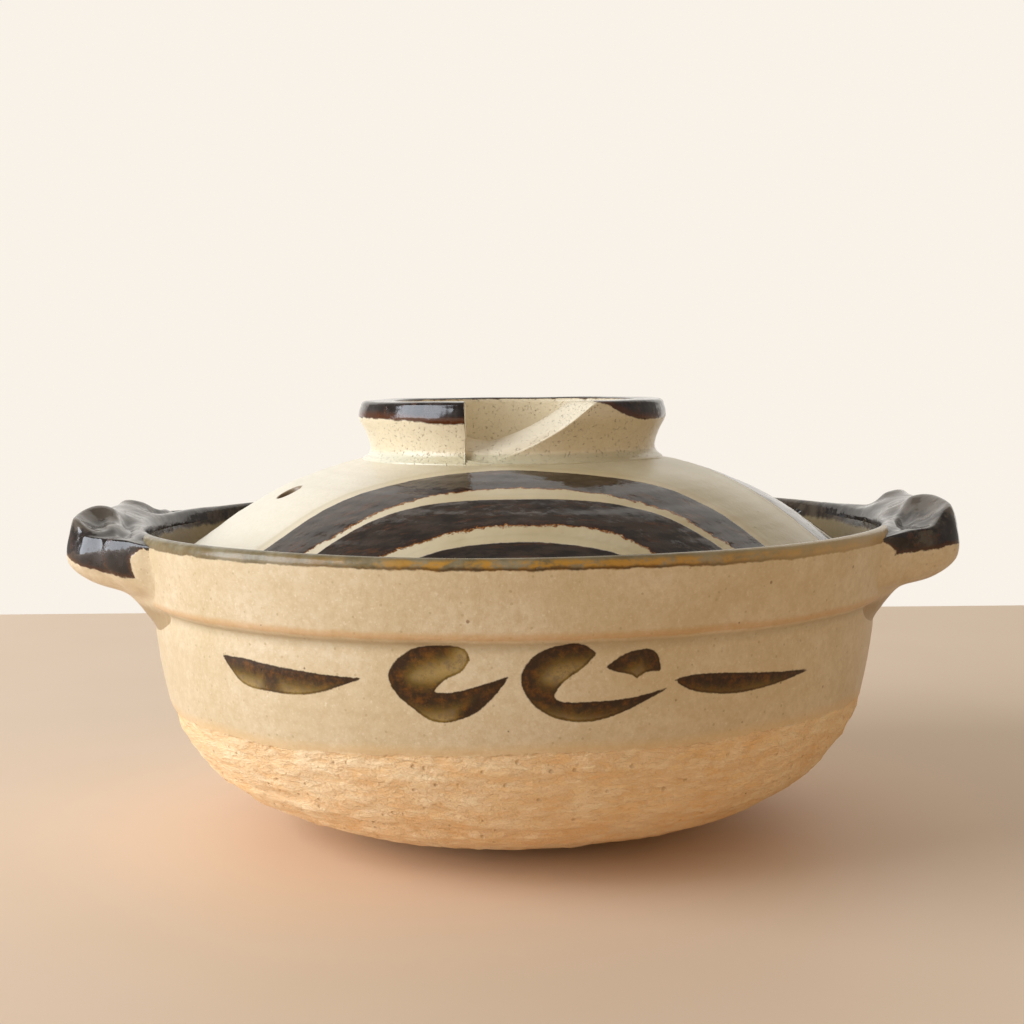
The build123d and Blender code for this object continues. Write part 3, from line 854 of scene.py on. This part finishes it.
# Upper and lower edges of one group's bands, seen from above, in millimetres from the axis.
band_edges = [
    ([(-92, -75.5), (-76.9, -70.2), (-71.1, -68.2), (-64, -64.7), (-55.3, -60.9), (-43.3, -58.3),
      (-28.2, -56.6), (-12.9, -56), (-0.6, -55.5), (14.7, -56.7), (33, -57.5), (45.2, -57.8),
      (57.2, -60.1), (66, -63.7), (75.7, -69.8), (90, -79)],
     [(-84, -93), (-63.2, -82.4), (-53.5, -79.6), (-42.1, -75), (-33.3, -72.8), (-21.4, -71.1),
      (-9.5, -70.5), (8.3, -70.1), (26.2, -71.1), (38.1, -71.5), (49.9, -73.3), (58.5, -76.8),
      (65.7, -78.6), (84, -93)]),
    ([(-76, -95), (-58.1, -84.4), (-50.3, -80.6), (-38.9, -76.9), (-24.2, -75.6), (-3.5, -76.6),
      (14.2, -75.9), (31.9, -74.7), (46.6, -76), (60.8, -81.1), (80, -96)],
     [(-62, -108), (-37.6, -94.6), (-26.3, -92.7), (-14.9, -90.7), (2.3, -89.8), (16.7, -89.2),
      (28.2, -89.2), (38, -92.3), (62, -108)]),
    ([(-56, -112), (-26.6, -97.8), (-17.6, -96.5), (-3.4, -95.8), (7.9, -95.5), (19.3, -95.8),
      (29.2, -96.4), (56, -112)],
     [(-50, -122), (-20, -108), (0, -106.5), (20, -107.5), (50, -122)]),
]
band_mark, lower_mark = np.full(len(lid_flat), -40.0), np.zeros(len(lid_flat))
upper_side = np.concatenate([
    np.repeat(is_top, len(lid_turns)), [False, True],
    np.arange(len(patch_rows) * loop_size) < glazed_rows * loop_size])
for group_turn in (0.0, -116.0, -226.0):
    c, s = cos(radians(group_turn)), sin(radians(group_turn))
    local = lid_flat[:, :2] @ np.array([(c, s), (-s, c)])
    near = np.where(upper_side & (local[:, 1] < -40))[0]
    for top_edge, low_edge in band_edges:
        outline = np.concatenate([curve_through(top_edge, spacing=2.0),
                                  curve_through(low_edge[::-1], spacing=2.0)])
        inside = signed_distance(local[near], outline)
        to_top, to_low = [distance_from(local[near], curve_through(edge, spacing=3.0))
                          for edge in (top_edge, low_edge)]
        share = eased(to_top - to_low, -3.0, 3.0)
        lower_mark[near] = np.where(inside > band_mark[near], share, lower_mark[near])
        band_mark[near] = np.maximum(band_mark[near], inside)
lid_dome = clay_mesh("lid_dome", lid_flat, np.concatenate([lid_quads, patch_quads]), lid_fans,
                     {"in_band": band_mark, "toward_edge": lower_mark,
                      "is_top": upper_side.astype(float)})

lid_finish = Finish("lid_glaze_and_bands")
lid_glaze, lid_iron, lid_clay = [
    make(lid_finish) for make in (cream_glaze, iron_glaze, sandy_clay)]
lid_x, lid_y, lid_z = lid_finish.millimetres()
band, toward_edge = lid_finish.mark("in_band"), lid_finish.mark("toward_edge")
rag = (lid_finish.cloud(2.2, 5, 0.76, 71.0) - 0.5) * (0.9 + 5.2 * toward_edge)
clouds = lid_finish.cloud(4.0, 5, 0.66, 72.0, (0.34, 1.0, 1.0)).step(0.40, 0.60)
streak = lid_finish.cloud(3.0, 5, 0.7, 73.0, (0.22, 1.0, 1.0)).step(0.52, 0.66)
rusty_edge = (band + rag).step(2.4, 0.7) * (0.25 + 0.75 * toward_edge)
amber_rim = (band + rag).step(0.90, 0.25) * toward_edge
band_colour = layers(
    blend(clouds, (32, 22, 16), (60, 46, 37)), (streak * 0.62, (92, 54, 26)),
    (rusty_edge * 0.92, (46, 20, 4)), (amber_rim * 0.85, (170, 104, 24)))
halo = (band + 3.2 + rag * 0.6).maths("ABSOLUTE").step(1.6, 0.3) * (1 - toward_edge)
# The dome's pale glaze is painted lighter on the left, a painted light on the side that faces the
# window.
pale_tone_lit_left = blend(lid_x.step(-60.0, 70.0), (246, 240, 222), (232, 228, 198))
# A patchy grey-brown darkening on the front middle of the dome is painted shade.
painted_shade_front = (lid_x.step(-62.0, -8.0) * lid_y.step(-30.0, -52.0)
              * lid_finish.cloud(22, 3, 0.6, 74.0))
ground = tinted(
    lid_glaze, (0.58, pale_tone_lit_left), (painted_shade_front * 1.1, (168, 148, 104)),
    (band.step(-7.0, -0.5) * 0.42, (206, 184, 138)), (halo * 0.18, (160, 142, 92)))
lid_skin = laid_over((band + rag).step(-0.1, 0.32) * lid_finish.mark("is_top"), ground,
                     (band_colour, lid_iron[1] + 0.02, lid_iron[2] + 1.4))
hole_x, hole_y = hole_middle
from_hole = ((lid_x - hole_x) ** 2.0 + (lid_y - hole_y) ** 2.0) ** 0.5
in_bore = from_hole.step(steam_radius + 0.8, steam_radius + 0.2)
lid_skin = tinted(lid_skin, (in_bore * 0.85, (112, 84, 48)))
lid_skin = laid_over(lid_z.step(86.2, 85.4), lid_skin, lid_clay)
lid_dome.data.materials.append(lid_finish.fire(lid_skin, 0.16))
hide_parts("lid")
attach(lid_dome, "lid")


# The ring on the lid: a coil turned on the dome into a flared ring, the lid's grip and its foot
# when it lies upside down. A knife cut one notch: an upright cut, a flat sill, and one long
# slanting stroke.

ring_top, ring_low = crown_height + 15.7, 121.0
ring_side = [(47.8, 125.3), (50.2, ring_top - 9.4), (51.8, ring_top - 5.8), (50.3, ring_top)]
ring_inner_radius, ring_middle_radius, ring_foot_radius = 39.8, 45.0, 49.5
notch_depth, notch_left = 17.5, 15.0
ramp_points = [(-7.2, 17.5), (11.9, 10.0), (32.0, 0.0)]
notch_slope, slope_from = 0.56, 47.8


def circle_through(points):
    """Middle and radius of the circle through three points of a plane, which lies as far from
    each of them."""
    first, others = np.array(points[0]), np.array(points[1:])
    middle = np.linalg.solve(2 * (others - first), (others ** 2 - first ** 2).sum(axis=1))
    return middle, np.linalg.norm(first - middle)


arc_middle, arc_radius = circle_through([(x, -drop) for x, drop in ramp_points])


def knife_height(x, y):
    """Height to which the knife cut the ring at a place: the sill or the arc of the ramp, both
    rising inwards, and far above the ring's top to the left of the upright cut."""
    reach = np.clip(x - arc_middle[0], -arc_radius, arc_radius)
    ramp = arc_middle[1] - np.sqrt(arc_radius ** 2 - reach ** 2)
    drop = np.where(x < ramp_points[0][0], -notch_depth, ramp)
    drop = np.where(x > ramp_points[2][0] + 4, far, drop)
    height = ring_top + drop + notch_slope * (y + slope_from)
    upright = eased(x, -notch_left - 0.35, -notch_left + 0.35)
    return height * upright + (ring_top + 20.0) * (1 - upright)


ring_profile = curve_through(ring_side, spacing=0.2)
by_upright = np.array([-0.6, -0.35, -0.2, -0.08, 0.08, 0.2, 0.35, 0.6]) - notch_left
ring_columns = np.sort(np.concatenate([
    np.linspace(-pi, pi, 421)[:-1], np.arcsin(by_upright / ring_middle_radius)]))
gathered = 1 - eased(np.abs(ring_columns), radians(46), radians(70))
nominal_x = ring_middle_radius * np.sin(ring_columns)


def ring_place(radius):
    """Plan place of each column at a radius: in the notch a column keeps its distance across,
    as the knife's cut does, and elsewhere it is radial. Angle 0 is the front."""
    across = np.arcsin(np.clip(nominal_x / radius, -0.999, 0.999))
    angle = ring_columns + gathered * (across - ring_columns)
    return radius * np.sin(angle), -radius * np.cos(angle)


def cut_top(x, y):
    """Height of the ring at a place, its own slightly uneven top or the knife's cut, the two
    joined with a narrow soft edge."""
    turn, soft = np.arctan2(y, x), 0.25
    own = 0.10 * np.sin(3 * turn) + 0.06 * np.sin(8 * turn) - 0.22
    cut = knife_height(x, y) - ring_top
    return ring_top - soft * np.log(np.exp(-own / soft) + np.exp(-cut / soft))


side_rows, round_rows, top_rows = 34, 9, 15
outer_top, inner_top = cut_top(*ring_place(50.3)), cut_top(*ring_place(ring_inner_radius))
in_cut = eased(ring_top - np.minimum(outer_top, inner_top), 0.6, 2.0)
rounding = 1.7 - 1.15 * in_cut
outer_shoulder, inner_shoulder = outer_top - rounding, inner_top - rounding
grid = []


def add_row(radius, height):
    """Adds a row of the ring's points at a radius and a height."""
    grid.append(np.column_stack([*ring_place(radius), height + 0 * ring_columns]))


for share in np.linspace(0, 1, side_rows):
    height = ring_low + share * (outer_shoulder - ring_low)
    above_dome = np.maximum(height - height_at(dome_line, ring_foot_radius), 0)
    fillet = 3.0 * np.exp(-above_dome / 1.3) * (height < 128)
    add_row(np.interp(height, ring_profile[:, 1], ring_profile[:, 0]) + fillet, height)
shoulder = np.interp(outer_shoulder, ring_profile[:, 1], ring_profile[:, 0])
for turn in np.linspace(0, pi / 2, round_rows)[1:]:
    add_row(shoulder - rounding * (1 - cos(turn)), outer_shoulder + rounding * sin(turn))
for share in np.linspace(0, 1, top_rows)[1:-1]:
    radius = (1 - share) * (shoulder - rounding) + share * (ring_inner_radius + rounding)
    crown = 0.10 * np.sin(pi * share) * (1 - in_cut)
    add_row(radius, cut_top(*ring_place(radius)) + crown)
for turn in np.linspace(pi / 2, 0, round_rows):
    add_row(ring_inner_radius + rounding * (1 - cos(turn)), inner_shoulder + rounding * sin(turn))
for share in np.linspace(0, 1, side_rows)[1:]:
    height = inner_shoulder * (1 - share) + ring_low * share
    above_dome = np.maximum(height - height_at(dome_line, ring_inner_radius), 0)
    add_row(ring_inner_radius - 1.6 * np.exp(-above_dome / 0.9) * (share > 0.3), height)
add_row(ring_middle_radius, ring_low)

body = np.stack(grid)
rows, columns = body.shape[:2]
level = body[..., 2].copy()
slow = lumps(ring_columns[None, :] + 0 * level, level, 14, 5.0, 17)
pull = 0.07 * slow * eased(level, 124.0, 128.0) - 0.1
body[..., :2] *= 1 + (pull / np.linalg.norm(body[..., :2], axis=-1))[..., None]
own_row = np.arange(rows)[:, None] + 0 * level
on_top_row = (own_row >= side_rows + 2) & (own_row < side_rows + 2 * round_rows + top_rows - 5)
knife_cut = on_top_row * eased(ring_top - 0.5 - level, 0.0, 0.8) * in_cut
is_inner = (own_row > side_rows + round_rows + top_rows).astype(float)
ring_quads = turned_faces(rows + 1, columns) % (rows * columns)
lid_ring = clay_mesh("lid_ring", body, ring_quads, (), {
    "knife_cut": knife_cut, "below_top": np.maximum(ring_top - level, 0),
    "is_inner": is_inner}, sharp=50)

ring_finish = Finish("ring_clay_and_glaze")
ring_glaze, ring_iron = cream_glaze(ring_finish), iron_glaze(ring_finish)
ring_x, ring_y, ring_z = ring_finish.millimetres()
cut, inner = ring_finish.mark("knife_cut"), ring_finish.mark("is_inner")
ring_pits = ring_finish.cloud(0.9, 3, 0.6, 82.0).step(0.58, 0.72)
from_axis = (ring_x ** 2.0 + ring_y ** 2.0) ** 0.5
# Glaze pools greener at the ring's foot; it is lighter at the left and painted darker elsewhere,
# painted shade on the side away from the window.
pooled = ring_z.step(125.4, 124.0) * from_axis.step(44.0, 46.0)
pool_tone_and_shade = blend(ring_x.step(-22.0, -42.0), (184, 178, 146), (214, 216, 198))
pale = layers(ring_glaze[0], (0.55, (234, 221, 190)), (ring_pits * 0.24, (182, 156, 112)),
              (cut * 0.75, (238, 226, 200)), (pooled * 0.60, pool_tone_and_shade))
pale_skin = (pale, ring_glaze[1] - 0.12 * pooled, ring_glaze[2] - 1.6 * ring_pits)
left_depth = (5.7 + 1.5 * ring_x.step(-46.0, -18.0)) * ring_x.step(10.0, -10.0)
front_depth = left_depth + 6.6 * ring_x.step(23.0, 43.0)
band_depth = (5.2 + ring_y.step(-4.0, -14.0) * (front_depth - 5.2)) * (1 - 0.84 * inner)
in_band = (band_depth - ring_finish.mark("below_top")
           + ring_finish.waver(2.4, 4.0, 5, 0.68, 81.0))
dark_share = in_band.step(-0.2, 0.5) * (1 - cut)
ring_skin = tinted(laid_over(dark_share, pale_skin, ring_iron),
                   (dark_share * in_band.step(3.0, 1.0) * 0.9, (80, 40, 12)))
lid_ring.data.materials.append(ring_finish.fire(ring_skin, 0.18))
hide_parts("lid_knob")
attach(lid_ring, "lid")


# The studio: a plain pale table top, a bright plain room round it, one large soft light on the
# left as a window gives, a weak warm fill from the right, and the glow of a pale wall behind.

table = clay_mesh("table_top", [(-2200, -2200, 0), (2200, -2200, 0), (2200, 480, 0),
                                (-2200, 480, 0)], [(0, 1, 2, 3)])
table_finish = Finish("pale_table")
grain = table_finish.cloud(60, 3, 0.5, 91.0)
table_colour = blend(grain, (226, 200, 172), (230, 205, 178))
table.data.materials.append(table_finish.fire((table_colour, 0.55, grain), 0.02, gloss=0.3))


def lamp(name, place, aim, size, power, colour):
    """A soft square light at a place, turned to shine at another, that the camera doesn't see."""
    light = bpy.data.lights.new(name, "AREA")
    light.shape, light.size, light.energy, light.color = "SQUARE", size, power, colour
    made = bpy.data.objects.new(name, light)
    x, y, z = np.subtract(aim, place)
    made.location, made.visible_camera = place, False
    made.rotation_euler = (pi / 2 + atan2(z, np.hypot(x, y)), 0, atan2(y, x) - pi / 2)
    bpy.context.collection.objects.link(made)


lamp("window_light", (-1.45, -0.42, 0.58), (0, 0, 0.07), 1.25, 34.5, (0.90, 0.955, 1.04))
lamp("warm_fill", (1.1, -1.3, 0.30), (0, 0, 0.06), 1.4, 5.0, (1.0, 0.71, 0.38))
lamp("wall_glow", (0.0, 1.35, 0.62), (0, 0, 0.25), 2.2, 11.0, (1.0, 0.965, 0.91))

# The room looks plain white to the camera, and lights the pot more weakly.
air = Finish("studio_air", bpy.data.worlds)
bpy.context.scene.world = air.owner
by_camera = air.node("LightPath", [], "Is Camera Ray")
glow = air.node("Background", [seen(249, 242, 232), 0.63 * by_camera + 0.37])
air.node("OutputWorld", [glow])

camera = bpy.data.cameras.new("photo_camera")
camera.lens, camera.sensor_width = 58.96, 36.0
camera_object = bpy.data.objects.new("photo_camera", camera)
camera_object.location = (0.0, -0.569, 0.151)
camera_object.rotation_euler = (pi / 2 - radians(4.85), radians(0.52), 0)
bpy.context.collection.objects.link(camera_object)
bpy.context.scene.camera = camera_object
bpy.context.scene.view_settings.view_transform = "Standard"
